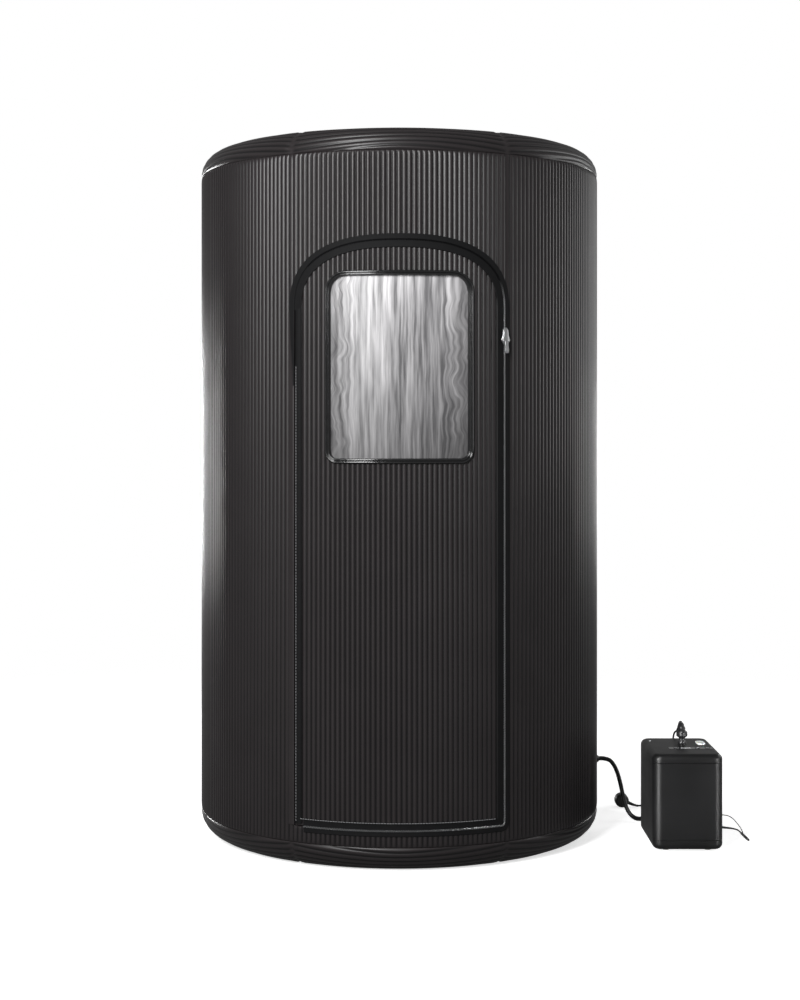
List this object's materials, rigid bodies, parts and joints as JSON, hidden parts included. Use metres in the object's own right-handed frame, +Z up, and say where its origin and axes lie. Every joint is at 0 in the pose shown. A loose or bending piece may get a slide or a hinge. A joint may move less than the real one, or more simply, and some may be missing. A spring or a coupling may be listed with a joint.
{
  "type": "inflatable sauna",
  "caption": "Upright inflatable steam cabin with a zipped door and window, joined by a hose to a free-standing steamer.",
  "frame": {"origin": "centre of the cabin's underside, on the floor", "axes": "+Z up, -Y out through the door, +X towards the steamer"},
  "size_m": [1.4363, 1.066, 1.8],
  "materials": {
    "skin": "satin black PVC",
    "tape": "woven black tape",
    "gloss": "glossy black",
    "liner": "silver-coated sheet",
    "core": "drop-stitch threads",
    "film": "clear soft film",
    "mat": "grey mat",
    "zinc": "bright plated",
    "nylon": "moulded black",
    "shell": "satin black",
    "silicone": "white silicone",
    "rubber": "matt black",
    "steel": "stainless",
    "board": "green board"
  },
  "bodies": {
    "cabin": {"wall_skin": "skin", "wall_core": "core", "wall_liner": "liner", "roof_gore_1": "skin", "roof_gore_2": "skin", "roof_gore_3": "skin", "roof_gore_4": "skin", "roof_gore_5": "skin", "roof_gore_6": "skin", "roof_centre": "skin", "floor_gore_1": "skin", "floor_gore_2": "skin", "floor_gore_3": "skin", "floor_gore_4": "skin", "floor_gore_5": "skin", "floor_gore_6": "skin", "floor_centre": "skin", "ceiling_liner": "liner", "floor_mat": "mat", "doorway_lining": "tape", "zip_tape_wall": "tape", "hinge_tape": "tape", "valve_body": "nylon", "relief_valve": "nylon", "steam_port": "nylon", "steam_diffuser": "nylon", "steam_hose": "rubber", "steamer_shell": "shell", "steamer_base": "shell", "steamer_top_cover": "shell", "control_panel": "gloss", "boiler_tank": "steel", "heating_element": "steel", "circuit_board": "board", "steam_outlet": "nylon", "foot_front_left": "rubber", "foot_front_right": "rubber", "foot_rear_left": "rubber", "foot_rear_right": "rubber", "mains_connector": "nylon", "mains_cord": "rubber", "mains_cord_coil": "rubber", "mains_cord_tail": "rubber", "mains_plug": "nylon", "drain_tube": "rubber", "drain_stopper": "rubber"},
    "door": {"door_skin": "skin", "door_core": "core", "door_liner": "liner", "window_film": "film", "window_welt": "gloss", "zip_tape_door": "tape"},
    "slider": {"zip_slider": "zinc"},
    "pull": {"zip_pull": "zinc"},
    "valve_cap": {"valve_cap": "nylon"},
    "valve_pin": {"valve_pin": "silicone"},
    "power_button": {"power_button": "nylon"},
    "time_button": {"time_button": "nylon"},
    "heat_button": {"heat_button": "nylon"},
    "filler_stopper": {"filler_stopper": "silicone"}
  },
  "joints": [
    {"name": "door_hinge", "type": "hinge", "parent": "cabin", "child": "door", "pos_m": [-0.25541, -0.4644, 0.8], "axis": [0, 0, -1], "range_deg": [0, 110]},
    {"name": "zip_slide", "type": "slide", "parent": "door", "child": "slider", "axis": [0, 0, -1], "range_m": [-0.04, 1.12]},
    {"name": "zip_pull_swing", "type": "hinge", "parent": "slider", "child": "pull", "pos_m": [0.26028, -0.47325, 1.28175], "axis": [-0.8762, -0.4819, 0], "range_deg": [0, 150]},
    {"name": "valve_cap_turn", "type": "hinge", "parent": "cabin", "child": "valve_cap", "pos_m": [0.2574, 0.46821, 0.3], "axis": [0.4818, 0.8763, 0], "range_deg": [0, 90]},
    {"name": "valve_pin_press", "type": "slide", "parent": "cabin", "child": "valve_pin", "axis": [-0.4818, -0.8763, 0], "range_m": [0, 0.005], "stiffness_N_per_m": 400},
    {"name": "power_button_press", "type": "slide", "parent": "cabin", "child": "power_button", "axis": [0, 0, -1], "range_m": [0, 0.001], "stiffness_N_per_m": 800},
    {"name": "time_button_press", "type": "slide", "parent": "cabin", "child": "time_button", "axis": [0, 0, -1], "range_m": [0, 0.001], "stiffness_N_per_m": 800},
    {"name": "heat_button_press", "type": "slide", "parent": "cabin", "child": "heat_button", "axis": [0, 0, -1], "range_m": [0, 0.001], "stiffness_N_per_m": 800},
    {"name": "filler_stopper_lift", "type": "slide", "parent": "cabin", "child": "filler_stopper", "axis": [0, 0, 1], "range_m": [0, 0.03]}
  ]
}
